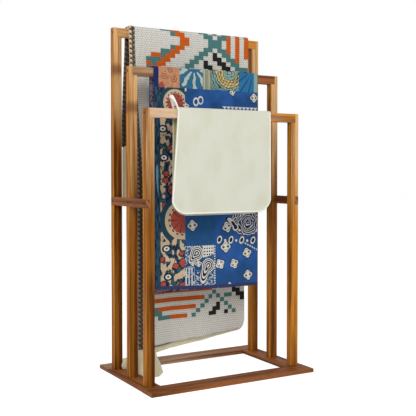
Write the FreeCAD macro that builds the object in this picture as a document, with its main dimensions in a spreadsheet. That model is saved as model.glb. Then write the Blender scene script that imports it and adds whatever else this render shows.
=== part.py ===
import FreeCAD, Part
import math
import os
import re
import Sketcher
from collections import namedtuple
from FreeCAD import Placement, Rotation, Vector

# A free-standing three-tier blanket ladder in oiled hardwood, with a blanket hanging over each tier.
# Millimetres, +Z up, X along the rails and Y from front to back. The origin is the middle of the
# footprint, on the floor. Four boards, tenoned at the corners, make a flat frame, and six posts stand in
# mortises in it. A rail lies in a notch at the top of each pair of posts, and a side rail is let into the
# outer faces of the three posts of a side.

SIZES = {
    # the flat base frame
    "base_width": 620,
    "base_depth": 422,
    "base_thickness": 13,
    "end_board": 71,
    "side_board": 65,
    "board_ease": 1.2,
    "corner_tenon_width": 40,
    "corner_tenon_thickness": 5,
    "corner_tenon_length": 22,
    # the posts and the rails
    "post_width": 30,
    "post_depth": 26,
    "post_margin": 15.5,
    "post_ease": 1,
    "foot_tenon_width": 18,
    "foot_tenon_depth": 14,
    "foot_tenon_length": 9,
    "front_height": 895,
    "tier_rise": 144.5,
    "rail_height": 30,
    "rail_seat": 17,
    "rail_ease": 1.5,
    "side_rail_bottom": 579,
    "side_rail_height": 28,
    "side_rail_thickness": 13.5,
    "joint_gap": 0.1,
    # the long screws, through the posts into the rails
    "long_shank": 5,
    "long_grip": 40,
    "long_head": 10,
    "long_head_height": 3,
    "long_recess": 4.5,
    # the short screws, through the side rails into the posts
    "short_shank": 4,
    "short_grip": 22,
    "short_head": 8,
    "short_head_height": 2.5,
    "short_recess": 3.5,
    "socket_width": 3,
    "socket_depth": 1.8,
    "screw_gap": 0.15,
    "recess_gap": 0.5,
    "drill_point": 2,
    # the blankets: how they lie on the rails
    "cloth_gap": 0.8,
    "layer_gap": 0.4,
    # the knitted throw on the back tier, its lining and its braid
    "knit_thickness": 5,
    "knit_left": -219,
    "knit_right": 243,
    "knit_left_in": 29,
    "knit_right_in": 21,
    "knit_hem_left": 78,
    "knit_hem_right": 110,
    "knit_back_hem": 592,
    "knit_back_lean": 11,
    "knit_fold": 4,
    "knit_corner": 28,
    "lining_thickness": 4,
    "lining_hem_left": 52,
    "lining_hem_right": 107,
    "braid_width": 20,
    "braid_proud": 1,
    "braid_end": 74,
    "braid_back_end": 780,
    "corner_left": -274,
    "corner_right": -143,
    "corner_reach": 112,
    "corner_top": 73,
    "corner_shoulder": 16,
    "corner_bow": 6,
    "corner_hem": 3,
    "corner_thickness": 4,
    "corner_lift": 1.5,
    # the patchwork blanket on the middle tier
    "quilt_thickness": 4.5,
    "quilt_left": -206,
    "quilt_right": 203,
    "quilt_hem_left": 306,
    "quilt_hem_right": 292,
    "quilt_back_hem": 285,
    "quilt_fold": 3,
    "binding_height": 9,
    # the fleece on the front tier
    "fleece_thickness": 5,
    "fleece_left": -183,
    "fleece_right": 173,
    "fleece_left_out": 23,
    "fleece_hem": 557,
    "fleece_back_hem": 551,
    "fleece_corner": 52,
    "piping": 6.5,
    "piping_proud": 1.2,
}

# Sizes that follow from the ones above, as formulas.
FORMULAS = {
    "post_outside": "(base_width / 2 - post_margin)",
    "post_inside": "(post_outside - post_width)",
    "notch_face": "(post_inside + rail_seat)",
    "front_face": "(end_board - base_depth / 2)",
    "tier_step": "((base_depth - 2 * end_board - post_depth) / 2)",
    "side_length": "(base_depth - 2 * end_board)",
    "rail_length": "(2 * (notch_face - joint_gap))",
    "long_hole": "(long_shank + 2 * screw_gap)",
    "short_hole": "(short_shank + 2 * screw_gap)",
}

TIERS = {"front": 0, "middle": 1, "back": 2}
SIDES = {"left": -1, "right": 1}
KNIT_FOLDS = 4
QUILT_FOLDS = 4

doc = FreeCAD.newDocument("blanket_ladder")
sheet = doc.addObject("Spreadsheet::Sheet", "Sizes")
for row, (word, number) in enumerate(SIZES.items(), start=1):
    sheet.set(f"A{row}", word)
    sheet.set(f"B{row}", str(number))
    sheet.setAlias(f"B{row}", word)
doc.recompute()

FORMULA_WORDS = re.compile(r"\b(" + "|".join(FORMULAS) + r")\b")
SIZE_WORDS = re.compile(r"\b(" + "|".join(SIZES) + r")\b")
nodes = {}


def bound(formula):
    """The formula in the sheet's own names, with the sizes that follow written out."""
    while FORMULA_WORDS.search(formula):
        formula = FORMULA_WORDS.sub(lambda found: FORMULAS[found.group()], formula)
    return SIZE_WORDS.sub(r"Sizes.\1", formula)


def value(formula):
    return float(sheet.evalExpression(bound(formula)))


def tier_front(tier):
    return f"(front_face + {TIERS[tier]} * tier_step)"


def tier_top(tier):
    return f"(front_height + {TIERS[tier]} * tier_rise)"


def place(thing, x="0", y="0", z="0", turn=None):
    """Puts a thing at formulas for its place, turned by (axis, degrees) about its own origin."""
    if turn:
        thing.Placement = Placement(Vector(), Rotation(Vector(*turn[0]), turn[1]))
    for axis, formula in zip("xyz", (x, y, z)):
        thing.setExpression(f"Placement.Base.{axis}", bound(formula))


# ---- sketches and features of the wooden pieces ----


def new_body(name):
    body = doc.addObject("PartDesign::Body", name)
    body.Label = name
    nodes[name] = body
    return body


def new_sketch(body, plane, offset="0"):
    """A sketch on one of the body's own planes, moved along the plane's normal."""
    sketch = body.newObject("Sketcher::SketchObject", "Sketch")
    origin_plane = [f for f in body.Origin.OriginFeatures if f.Role == plane][0]
    sketch.AttachmentSupport = [(origin_plane, "")]
    sketch.MapMode = "FlatFace"
    sketch.setExpression("AttachmentOffset.Base.z", bound(offset))
    return sketch


def tie(sketch, kind, places, formula):
    """A dimension of the sketch, bound to a formula."""
    number = sketch.addConstraint(Sketcher.Constraint(kind, *places, value(formula)))
    sketch.setExpression(f"Constraints[{number}]", bound(formula))


def rectangle(sketch, x, y, width, height):
    left, low = value(x), value(y)
    right, high = left + value(width), low + value(height)
    corners = [Vector(*p, 0) for p in ((left, low), (right, low), (right, high), (left, high))]
    first = sketch.GeometryCount
    for i in range(4):
        sketch.addGeometry(Part.LineSegment(corners[i], corners[(i + 1) % 4]), False)
    for i in range(4):
        joint = ("Coincident", first + i, 2, first + (i + 1) % 4, 1)
        sketch.addConstraint(Sketcher.Constraint(*joint))
        sketch.addConstraint(Sketcher.Constraint(("Horizontal", "Vertical")[i % 2], first + i))
    tie(sketch, "DistanceX", (-1, 1, first, 1), x)
    tie(sketch, "DistanceY", (-1, 1, first, 1), y)
    tie(sketch, "DistanceX", (first, 1, first, 2), width)
    tie(sketch, "DistanceY", (first + 1, 1, first + 1, 2), height)


def circle(sketch, x, y, diameter):
    number = sketch.GeometryCount
    centre = Vector(value(x), value(y), 0)
    sketch.addGeometry(Part.Circle(centre, Vector(0, 0, 1), value(diameter) / 2), False)
    tie(sketch, "DistanceX", (-1, 1, number, 3), x)
    tie(sketch, "DistanceY", (-1, 1, number, 3), y)
    tie(sketch, "Diameter", (number,), diameter)


def pad(body, sketch, length):
    feature = body.newObject("PartDesign::Pad", "Pad")
    feature.Profile = sketch
    feature.setExpression("Length", bound(length))
    doc.recompute()


def pocket(body, sketch, depth, along_normal=False):
    """Cuts the sketch out of the body to a depth, against the sketch's normal unless told otherwise."""
    before = body.Shape.Volume
    feature = body.newObject("PartDesign::Pocket", "Pocket")
    feature.Profile = sketch
    feature.Reversed = along_normal
    feature.setExpression("Length", bound(depth))
    doc.recompute()
    assert feature.Shape.Volume < before, f"{feature.Label} of {body.Label} cuts nothing"


def ease_long_edges(body, axis, size):
    """Eases the edges that run along one axis of a board, post or rail."""
    blank = body.Tip
    along = [abs(edge.tangentAt(edge.FirstParameter).dot(axis)) > 0.999 for edge in blank.Shape.Edges]
    chamfer = body.newObject("PartDesign::Chamfer", "Eased")
    chamfer.Base = (blank, [f"Edge{i}" for i, runs in enumerate(along, start=1) if runs])
    chamfer.setExpression("Size", bound(size))
    doc.recompute()


def stick(name, plane, width, height, length, axis, ease):
    """A straight length of wood, from a rectangle on one of its planes, with its long edges eased."""
    body = new_body(name)
    sketch = new_sketch(body, plane)
    rectangle(sketch, "0", "0", width, height)
    pad(body, sketch, length)
    ease_long_edges(body, axis, ease)
    return body


def drill(body, plane, centres, diameter, depth, start="0", along_normal=True):
    """Round holes of one depth from a plane of the body, each at an (x, y) of that plane."""
    sketch = new_sketch(body, plane, start)
    for x, y in centres:
        circle(sketch, x, y, diameter)
    pocket(body, sketch, depth, along_normal)


def mortise(body, plane, centres, width, height, depth, start="0", along_normal=True):
    """Square-cornered holes for tenons of one size, each about an (x, y) of a plane of the body."""
    sketch = new_sketch(body, plane, start)
    wide, high = f"({width} + 2 * joint_gap)", f"({height} + 2 * joint_gap)"
    for x, y in centres:
        rectangle(sketch, f"({x}) - {wide} / 2", f"({y}) - {high} / 2", wide, high)
    pocket(body, sketch, f"{depth} + joint_gap", along_normal)


# ---- the base frame ----


def end_board(name, y):
    """The front or back board, which runs the full width, with mortises for the side boards' tenons."""
    size = ("end_board", "base_thickness", "base_width")
    board = stick(name, "YZ_Plane", *size, Vector(1, 0, 0), "board_ease")
    centres = [(x, "base_thickness / 2") for x in ("side_board / 2", "base_width - side_board / 2")]
    front = y.startswith("-")
    # An XZ sketch faces -Y, so its offset runs towards the front.
    start = "-end_board" if front else "0"
    tenon = ("corner_tenon_width", "corner_tenon_thickness", "corner_tenon_length")
    mortise(board, "XZ_Plane", centres, *tenon, start, front)
    place(board, "-base_width / 2", y)


def side_board(name, side):
    """A side board with a tenon on each end, and a mortise in its top for each of its three posts."""
    size = ("side_board", "base_thickness", "side_length")
    board = stick(name, "XZ_Plane", *size, Vector(0, 1, 0), "board_ease")
    # The blank grows towards -Y, from its back end at the body's own origin.
    tenon = new_sketch(board, "XZ_Plane", "-corner_tenon_length")
    low = "(base_thickness - corner_tenon_thickness) / 2"
    inset = "(side_board - corner_tenon_width) / 2"
    rectangle(tenon, inset, low, "corner_tenon_width", "corner_tenon_thickness")
    pad(board, tenon, "side_length + 2 * corner_tenon_length")
    middle = "(post_margin + post_width / 2)"
    post_x = middle if side == "left" else f"(side_board - {middle})"
    centres = [(post_x, f"({i} * tier_step + post_depth / 2 - side_length)") for i in TIERS.values()]
    foot = ("foot_tenon_width", "foot_tenon_depth", "foot_tenon_length")
    mortise(board, "XY_Plane", centres, *foot, "base_thickness", False)
    x = "-base_width / 2" if side == "left" else "base_width / 2 - side_board"
    place(board, x, "base_depth / 2 - end_board")


end_board("base_front_board", "-base_depth / 2")
end_board("base_back_board", "base_depth / 2 - end_board")
for side in SIDES:
    side_board(f"base_{side}_board", side)


# ---- the posts and rails ----


def post(name, tier, side):
    """A post, its outer face at its own X = 0, with a notch, a lap for the side rail and a foot tenon."""
    height = f"({tier_top(tier)} - base_thickness)"
    body = stick(name, "XY_Plane", "post_width", "post_depth", height, Vector(0, 0, 1), "post_ease")

    foot = new_sketch(body, "XY_Plane", "-foot_tenon_length")
    inset = ("(post_width - foot_tenon_width) / 2", "(post_depth - foot_tenon_depth) / 2")
    rectangle(foot, *inset, "foot_tenon_width", "foot_tenon_depth")
    pad(body, foot, "foot_tenon_length")

    notch = new_sketch(body, "XZ_Plane")
    rectangle(notch, "post_width - rail_seat", f"{height} - rail_height", "rail_seat", "rail_height")
    pocket(body, notch, "post_depth")

    lap_bottom = "(side_rail_bottom - joint_gap - base_thickness)"
    lap = new_sketch(body, "XZ_Plane")
    rectangle(lap, "0", lap_bottom, "side_rail_thickness", "side_rail_height + 2 * joint_gap")
    pocket(body, lap, "post_depth")

    middle = "post_depth / 2"
    rail_screw = [(middle, f"{height} - rail_height / 2")]
    drill(body, "YZ_Plane", rail_screw, "long_hole", "post_width - rail_seat")
    drill(body, "YZ_Plane", rail_screw, "long_head + 2 * recess_gap", "long_recess")
    lap_screw = [(middle, "side_rail_bottom + side_rail_height / 2 - base_thickness")]
    lap_depth = "short_recess + short_grip + drill_point - side_rail_thickness"
    drill(body, "YZ_Plane", lap_screw, "short_hole", lap_depth, "side_rail_thickness")

    if side == "left":
        place(body, "-post_outside", tier_front(tier), "base_thickness")
    else:  # the same post, turned half round
        turned = ((0, 0, 1), 180)
        place(body, "post_outside", f"{tier_front(tier)} + post_depth", "base_thickness", turned)


def top_rail(name, tier):
    """A rail whose ends lie in the notches, with a pilot hole in each end."""
    rail = stick(name, "YZ_Plane", "post_depth", "rail_height", "rail_length", Vector(1, 0, 0), "rail_ease")
    centre = [("post_depth / 2", "rail_height / 2")]
    depth = "long_recess + long_grip + drill_point - (post_outside - notch_face)"
    drill(rail, "YZ_Plane", centre, "long_hole", depth)
    drill(rail, "YZ_Plane", centre, "long_hole", depth, "rail_length", False)
    place(rail, "-rail_length / 2", tier_front(tier), f"{tier_top(tier)} - rail_height")


def side_rail(name, side):
    """A flat rail let flush into the outer faces of three posts, with its own outer face at X = 0."""
    size = ("side_rail_thickness", "side_rail_height", "side_length")
    rail = stick(name, "XZ_Plane", *size, Vector(0, 1, 0), "post_ease")
    rows = [f"({i} * tier_step + post_depth / 2 - side_length)" for i in TIERS.values()]
    centres = [(y, "side_rail_height / 2") for y in rows]
    drill(rail, "YZ_Plane", centres, "short_hole", "side_rail_thickness")
    drill(rail, "YZ_Plane", centres, "short_head + 2 * recess_gap", "short_recess")
    if side == "left":
        place(rail, "-post_outside", "side_length / 2", "side_rail_bottom")
    else:
        place(rail, "post_outside", "-side_length / 2", "side_rail_bottom", ((0, 0, 1), 180))


for tier in TIERS:
    for side in SIDES:
        post(f"{tier}_{side}_post", tier, side)
    top_rail(f"{tier}_top_rail", tier)
for side in SIDES:
    side_rail(f"{side}_side_rail", side)


# ---- screws ----


def cylinder(name, diameter, height, z="0"):
    round_bar = doc.addObject("Part::Cylinder", name)
    round_bar.setExpression("Radius", bound(f"({diameter}) / 2"))
    round_bar.setExpression("Height", bound(height))
    place(round_bar, z=z)
    return round_bar


def screw(kind):
    """A cap screw along +Z, the underside of its head at Z = 0, with a hexagon socket."""
    head = cylinder(f"{kind}_head_blank", f"{kind}_head", f"{kind}_head_height", f"-{kind}_head_height")
    shank = cylinder(f"{kind}_shank_blank", f"{kind}_shank", f"{kind}_grip + socket_depth", "-socket_depth")
    solid = doc.addObject("Part::Fuse", f"{kind}_blank")
    solid.Base, solid.Tool = head, shank
    socket = doc.addObject("Part::Prism", f"{kind}_socket")
    socket.Polygon = 6
    socket.setExpression("Circumradius", bound("socket_width / sqrt(3)"))
    socket.setExpression("Height", bound("socket_depth"))
    place(socket, z=f"-{kind}_head_height")
    cut = doc.addObject("Part::Cut", f"{kind}_screw")
    cut.Base, cut.Tool = solid, socket
    return cut


def group_of(name, piece, places):
    """One node of like pieces: each place is three formulas and a turn."""
    links = []
    for x, y, z, turn in places:
        link = doc.addObject("App::Link", f"{name}_copy")
        link.LinkedObject = piece
        place(link, x, y, z, turn)
        links.append(link)
    group = doc.addObject("Part::Compound", name)
    group.Links = links
    group.Label = name
    nodes[name] = group


INWARD = {"left": ((0, 1, 0), 90), "right": ((0, 1, 0), -90)}
POSTS = [(tier, side) for tier in TIERS for side in SIDES]


def post_row(tier):
    return f"({tier_front(tier)} + post_depth / 2)"


long_screw = screw("long")
short_screw = screw("short")
rail_places = []
side_places = []
for tier, side in POSTS:
    outside = f"{SIDES[side]} * (post_outside"
    rail_axis = f"{tier_top(tier)} - rail_height / 2"
    rail_places.append((f"{outside} - long_recess)", post_row(tier), rail_axis, INWARD[side]))
    side_axis = "side_rail_bottom + side_rail_height / 2"
    side_places.append((f"{outside} - short_recess)", post_row(tier), side_axis, INWARD[side]))
group_of("rail_screws", long_screw, rail_places)
group_of("side_rail_screws", short_screw, side_places)


# ---- the blankets ----


def cloth_node(name, shape):
    """A soft piece whose form is worked out here from the sheet's sizes."""
    feature = doc.addObject("Part::Feature", name)
    feature.Shape = shape
    feature.Label = name
    nodes[name] = feature


def closed_line(points, bulges):
    """A closed wire through points, with an arc where a stretch has a bulge, square to it in Y."""
    edges = []
    for i, bulge in enumerate(bulges):
        start, end = points[i], points[(i + 1) % len(points)]
        if abs(bulge) > 1e-6:
            crown = (start + end) / 2 + Vector(0, bulge, 0)
            edges.append(Part.Arc(start, crown, end).toShape())
        else:
            edges.append(Part.LineSegment(start, end).toShape())
    return Part.Wire(edges)


# A cut across hanging cloth: its two edges in X, its height at each, how deep its folds are there,
# how far it stands out from where it would hang against the rail, and the width of a flat margin
# to the left of its left edge.
Level = namedtuple("Level", "left right low_left low_right fold out margin", defaults=(0, 0, 0))


def cloth_section(level, outer, inner, folds):
    """The closed line round cloth at one level, between the Y of its outer and inner faces."""
    away = math.copysign(level.out, outer - inner)
    steps = [i / folds for i in range(folds + 1)]
    width, rise = level.right - level.left, level.low_right - level.low_left
    places = [(level.left + width * s, level.low_left + rise * s) for s in steps]
    bulges = [level.fold * (-1) ** i for i in range(folds)]
    face = [Vector(x, outer + away, z) for x, z in places]
    lining = [Vector(x, inner + away, z) for x, z in reversed(places)]
    return closed_line(face + lining, bulges + [0] + bulges[::-1] + [0])


def hanging_panel(levels, faces, folds):
    """Cloth that hangs through its levels, from the top down, with its flat margin if it has one."""
    panel = Part.makeLoft([cloth_section(level, *faces, folds) for level in levels], True, True)
    if not levels[0].margin:
        return panel
    strip = [
        Level(level.left - level.margin, level.left, level.low_left, level.low_left, out=level.out)
        for level in levels
    ]
    return panel.fuse(hanging_panel(strip, faces, 1))


def over_rail(tier, gap, thickness, left, right, drop):
    """The stretch of cloth that bends over a rail, from drop below its top in front to as far behind."""
    front, top = value(tier_front(tier)), value(tier_top(tier))
    back = front + value("post_depth")
    inner = gap + value("rail_ease")

    def bend(reach, radius, side):
        centre_y = front + inner - gap if side < 0 else back - inner + gap
        centre = Vector(left, centre_y, top + reach - radius)
        middle = Vector(0, side, 1).normalize() * radius
        points = [centre + Vector(0, side * radius, 0), centre + middle, centre + Vector(0, 0, radius)]
        return points if side < 0 else points[::-1]

    outer_radius = inner + thickness
    near, far = bend(gap + thickness, outer_radius, -1), bend(gap + thickness, outer_radius, 1)
    near_in, far_in = bend(gap, inner, -1), bend(gap, inner, 1)
    low = top - drop

    def foot(point):
        return Vector(left, point.y, low)

    edges = [
        Part.LineSegment(foot(near[0]), near[0]).toShape(),
        Part.Arc(*near).toShape(),
        Part.LineSegment(near[2], far[0]).toShape(),
        Part.Arc(*far).toShape(),
        Part.LineSegment(far[2], foot(far[2])).toShape(),
        Part.LineSegment(foot(far[2]), foot(far_in[2])).toShape(),
        Part.LineSegment(foot(far_in[2]), far_in[2]).toShape(),
        Part.Arc(*far_in[::-1]).toShape(),
        Part.LineSegment(far_in[0], near_in[2]).toShape(),
        Part.Arc(*near_in[::-1]).toShape(),
        Part.LineSegment(near_in[0], foot(near_in[0])).toShape(),
        Part.LineSegment(foot(near_in[0]), foot(near[0])).toShape(),
    ]
    return Part.Face(Part.Wire(edges)).extrude(Vector(right - left, 0, 0))


def faces_of(tier, gap, thickness):
    """Y of the cloth's outer and inner faces, in front of the rail and behind it."""
    front = value(tier_front(tier))
    back = front + value("post_depth")
    return (front - gap - thickness, front - gap), (back + gap + thickness, back + gap)


def round_corner(panel, hem, radius):
    """Rounds a panel's lower right corner, where its right side meets its sloping hem."""
    slope = math.atan2(hem.low_right - hem.low_left, hem.right - hem.left)
    corner = Vector(hem.right, 0, hem.low_right)
    rise = radius / math.cos(slope) - radius * math.tan(slope)
    centre = corner + Vector(-radius, 0, rise)
    on_side = centre + Vector(radius, 0, 0)
    on_hem = centre + Vector(math.sin(slope), 0, -math.cos(slope)) * radius
    middle = centre + ((on_side + on_hem) / 2 - centre).normalize() * radius
    beyond = corner + (corner - centre) / 2
    edges = [
        Part.Arc(on_side, middle, on_hem).toShape(),
        Part.LineSegment(on_hem, beyond).toShape(),
        Part.LineSegment(beyond, on_side).toShape(),
    ]
    waste = Part.Face(Part.Wire(edges)).extrude(Vector(0, value("base_depth"), 0))
    return panel.cut(waste)


def draped(tier, gap, thickness, front_levels, back_levels, folds, corner=0):
    """A blanket over a rail: the bend over the wood, and a panel that hangs on each side of it."""
    top = front_levels[0]
    left = top.left - top.margin
    bend = over_rail(tier, gap, thickness, left, top.right, value(tier_top(tier)) - top.low_left)
    front_faces, back_faces = faces_of(tier, gap, thickness)
    front = hanging_panel(front_levels, front_faces, folds)
    if corner:
        front = round_corner(front, front_levels[-1], corner)
    back = hanging_panel(back_levels, back_faces, 1)
    return bend.fuse([front, back]).removeSplitter()


def straight(left, right, top, bottom):
    """The two levels of a plain panel with straight sides."""
    return [Level(left, right, top, top), Level(left, right, bottom, bottom)]


def knit_front(left, right, hem_left, hem_right, fold, margin=0):
    """The throw's front narrows as far as half way down, and its folds deepen all the way."""
    left_low, right_low = left + value("knit_left_in"), right - value("knit_right_in")
    low, half = value(f"{tier_top('back')} - rail_height"), value("side_rail_bottom")
    out = value("knit_fold")
    return [
        Level(left, right, low, low, margin=margin),
        Level(left_low, right_low, half, half, fold / 2, out / 2, margin),
        Level(left_low, right_low, hem_left, hem_right, fold, out, margin),
    ]


def knit_back(left, right, hem, margin=0, right_leans=False):
    """Behind the rail the throw's left side leans out as far as the throw's own hem."""
    low, throw_hem = value(f"{tier_top('back')} - rail_height"), value("knit_back_hem")
    lean = value("knit_back_lean") * (low - hem) / (low - throw_hem)
    right_low = right - lean if right_leans else right
    return [
        Level(left, right, low, low, margin=margin),
        Level(left - lean, right_low, hem, hem, margin=margin),
    ]


def knitted_throw():
    """The knitted face, the lining under it, and the braid that lies on the lining's left edge."""
    left, right = value("knit_left"), value("knit_right")
    fold, corner = value("knit_fold"), value("knit_corner")
    lining_gap, lining = value("cloth_gap"), value("lining_thickness")
    knit_gap, knit = lining_gap + lining + value("layer_gap"), value("knit_thickness")
    throw_hem, braid_width = value("knit_back_hem"), value("braid_width")

    hems = value("knit_hem_left"), value("knit_hem_right")
    front = knit_front(left, right, *hems, fold)
    back = knit_back(left, right, throw_hem)
    cloth_node("knit_throw", draped("back", knit_gap, knit, front, back, KNIT_FOLDS, corner))

    hems = value("lining_hem_left"), value("lining_hem_right")
    margin = value("layer_gap") + braid_width
    front = knit_front(left, right, *hems, fold, margin)
    back = knit_back(left, right, throw_hem, margin)
    cloth_node("knit_lining", draped("back", lining_gap, lining, front, back, KNIT_FOLDS, corner))

    braid_right = left - value("layer_gap")
    braid_left = braid_right - braid_width
    end = value("braid_end")
    front = knit_front(braid_left, braid_right, end, end, 0)
    front = [level._replace(right=level.left + braid_width) for level in front]
    back = knit_back(braid_left, braid_right, value("braid_back_end"), right_leans=True)
    braid = knit + value("braid_proud")
    cloth_node("knit_braid", draped("back", knit_gap, braid, front, back, 1))


# The lining's loose corner, from its back left end round to its right end: the share of its width,
# the share of its reach, and its hem's height, where 0 is the lowest point and 1 is over the side board.
CORNER_STATIONS = [
    (0.0, 0.0, 1.0),
    (0.21, 0.4, 1.1),
    (0.3, 0.7, 0.6),
    (0.46, 0.93, 0.1),
    (0.7, 1.0, 0.0),
    (0.93, 0.7, 0.25),
    (1.0, 0.36, 1.5),
]


def triangle(first, second, third):
    """A flat face that is seen from outside with its corners in anticlockwise order."""
    face = Part.Face(Part.makePolygon([first, second, third, first]))
    outward = (second - first).cross(third - first)
    return face if face.normalAt(0, 0).dot(outward) > 0 else face.reversed()


def flat_faced(sections):
    """A solid through four-sided sections, with flat triangles between one section and the next."""
    faces = []
    for near, far in zip(sections, sections[1:]):
        for k in range(4):
            following = (k + 1) % 4
            faces.append(triangle(near[k], near[following], far[following]))
            faces.append(triangle(near[k], far[following], far[k]))
    for a, b, c, d in (sections[0][::-1], sections[-1]):
        faces += [triangle(a, b, c), triangle(a, c, d)]
    return Part.makeSolid(Part.makeShell(faces))


def lining_corner():
    """The loose lower corner of the lining, which spreads forward and to the left over the base frame."""
    left, width = value("corner_left"), value("corner_right - corner_left")
    low, over_board = value("corner_hem"), value("base_thickness + corner_lift")
    back_y = faces_of("back", value("cloth_gap"), value("lining_thickness"))[0][0]
    back_y -= value("knit_fold + layer_gap")
    hem, top = [], []
    for share, forward, height in CORNER_STATIONS:
        x = left + share * width
        z = low + height * (over_board - low)
        hem.append(Vector(x, back_y - forward * value("corner_reach"), z))
        top_z = value("corner_top") - value("corner_shoulder") * (2 * share - 1) ** 2
        top.append(Vector(x, back_y - value("corner_bow") * math.sin(math.pi * share), top_z))
    sections = []
    for i in range(len(hem)):
        near, far = max(i - 1, 0), min(i + 1, len(hem) - 1)
        rise = top[i] - hem[i]
        above_hem, above_top = [
            (line[far] - line[near]).cross(rise).normalize() * value("corner_thickness")
            for line in (hem, top)
        ]
        sections.append([hem[i], top[i], top[i] + above_top, hem[i] + above_hem])
    cloth_node("lining_corner", flat_faced(sections))


def patchwork_blanket():
    """The patchwork blanket, and the plain binding along its front hem."""
    low = value(f"{tier_top('middle')} - rail_height")
    left, right, fold = value("quilt_left"), value("quilt_right"), value("quilt_fold")
    gap, thick = value("cloth_gap"), value("quilt_thickness")
    hem_left, hem_right = value("quilt_hem_left"), value("quilt_hem_right")
    half = value("side_rail_bottom + side_rail_height")
    binding = value("binding_height")
    front = [
        Level(left, right, low, low),
        Level(left, right, half, half, fold / 2, fold / 2),
        Level(left, right, hem_left + binding, hem_right + binding, fold, fold),
    ]
    back = straight(left, right, low, value("quilt_back_hem"))
    cloth_node("patchwork_blanket", draped("middle", gap, thick, front, back, QUILT_FOLDS))
    levels = [front[-1], Level(left, right, hem_left, hem_right, fold, fold)]
    cloth_node("blanket_binding", hanging_panel(levels, faces_of("middle", gap, thick)[0], QUILT_FOLDS))


def fleece_outline(inset, hem, lean):
    """The fleece's outline below the rail: two sides, of which the left leans out, and round corners."""
    low = value(f"{tier_top('front')} - rail_height")
    left, right = value("fleece_left") + inset, value("fleece_right") - inset
    left_low = left - lean
    corner = value("fleece_corner") - inset
    hem += inset
    half = corner * (1 - math.sqrt(0.5))
    return [
        [(left, low), (left_low, hem + corner)],
        [(left_low, hem + corner), (left_low + half, hem + half), (left_low + corner, hem)],
        [(left_low + corner, hem), (right - corner, hem)],
        [(right - corner, hem), (right - half, hem + half), (right, hem + corner)],
        [(right, hem + corner), (right, low)],
    ]


def outline_edges(outline, y):
    """The outline's lines and arcs at one Y."""
    edges = []
    for stretch in outline:
        points = [Vector(x, y, z) for x, z in stretch]
        curve = Part.LineSegment(*points) if len(points) == 2 else Part.Arc(*points)
        edges.append(curve.toShape())
    return edges


def fleece_panel(inset, hem, lean, faces):
    """A round-cornered panel of the fleece between two faces."""
    edges = outline_edges(fleece_outline(inset, hem, lean), faces[0])
    edges.append(Part.LineSegment(edges[-1].Vertexes[-1].Point, edges[0].Vertexes[0].Point).toShape())
    return Part.Face(Part.Wire(edges)).extrude(Vector(0, faces[1] - faces[0], 0))


def fleece_throw():
    """The fleece, round-cornered in front and behind, with piping round the edge of the front."""
    pipe, gap, thick = value("piping"), value("cloth_gap"), value("fleece_thickness")
    hem, lean = value("fleece_hem"), value("fleece_left_out")
    front_faces, back_faces = faces_of("front", gap, thick)
    inset = pipe + value("layer_gap")
    left, right = value("fleece_left") + inset, value("fleece_right") - inset
    bend = over_rail("front", gap, thick, left, right, value("rail_height"))
    front = fleece_panel(inset, hem, lean, front_faces)
    back = fleece_panel(inset, value("fleece_back_hem") - inset, 0, back_faces)
    cloth_node("fleece_throw", bend.fuse([front, back]).removeSplitter())

    # The piping is level with the inner face and stands proud of the outer one.
    band = (front_faces[0] - value("piping_proud"), front_faces[1])
    cloth_node("fleece_piping", fleece_panel(0, hem, lean, band).cut(fleece_panel(pipe, hem, lean, band)))


knitted_throw()
lining_corner()
patchwork_blanket()
fleece_throw()

# ---- checks, and one file for each node ----

doc.recompute()
for thing in doc.Objects:
    assert not {"Invalid", "Error"} & set(thing.State), f"{thing.Label} failed: {thing.State}"
for name, thing in nodes.items():
    shape = thing.Shape
    assert not shape.isNull() and shape.isValid() and shape.Solids, f"{name} has no valid solid"

os.makedirs("parts", exist_ok=True)
for name, thing in nodes.items():
    thing.Shape.exportStep(os.path.join("parts", f"{name}.step"))
    print(name, len(thing.Shape.Solids), round(thing.Shape.Volume))
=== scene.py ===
import math

import bpy
import numpy as np
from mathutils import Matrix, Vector


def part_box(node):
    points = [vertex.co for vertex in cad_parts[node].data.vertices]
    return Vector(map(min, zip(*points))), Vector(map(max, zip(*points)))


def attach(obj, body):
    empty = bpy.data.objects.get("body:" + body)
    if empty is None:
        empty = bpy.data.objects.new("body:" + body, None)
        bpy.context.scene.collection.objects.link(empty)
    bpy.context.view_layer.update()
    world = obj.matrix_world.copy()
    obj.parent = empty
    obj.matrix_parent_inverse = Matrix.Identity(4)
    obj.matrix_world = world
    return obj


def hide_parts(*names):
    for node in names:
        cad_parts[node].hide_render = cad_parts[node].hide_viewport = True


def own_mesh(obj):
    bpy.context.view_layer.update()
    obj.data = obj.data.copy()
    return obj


# A three-tier blanket ladder in oiled hardwood, with a knitted throw, a patchwork blanket and a fleece
# on its rails. Metres, in the same frame as the model: +Z up, X along the rails, Y from front to back.

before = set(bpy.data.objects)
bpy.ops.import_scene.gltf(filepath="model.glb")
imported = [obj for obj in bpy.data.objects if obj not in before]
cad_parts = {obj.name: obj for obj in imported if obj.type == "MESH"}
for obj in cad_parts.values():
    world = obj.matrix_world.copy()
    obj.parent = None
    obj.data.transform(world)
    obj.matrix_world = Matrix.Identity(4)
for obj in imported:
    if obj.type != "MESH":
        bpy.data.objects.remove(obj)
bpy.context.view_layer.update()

# The photograph's view: its size in pixels, where the camera stands, where it looks, its focal length
# in pixels, and the row of pixels that the horizon is on.
IMAGE = 416
CAMERA_PLACE = (-1.3448, -2.3544, 0.6990)
CAMERA_TURN = math.radians(29.916)
CAMERA_TILT = math.radians(-1.677)
FOCAL_PIXELS = 780.5
HORIZON_ROW = 193

EASED_EDGE = 0.0015  # radius of the rails' long edges


def rail_faces(name):
    """Y of a top rail's front and back faces, and Z of its top."""
    low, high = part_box(f"{name}_top_rail")
    return low.y, high.y, high.z


RAILS = {name: rail_faces(name) for name in ("front", "middle", "back")}


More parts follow.
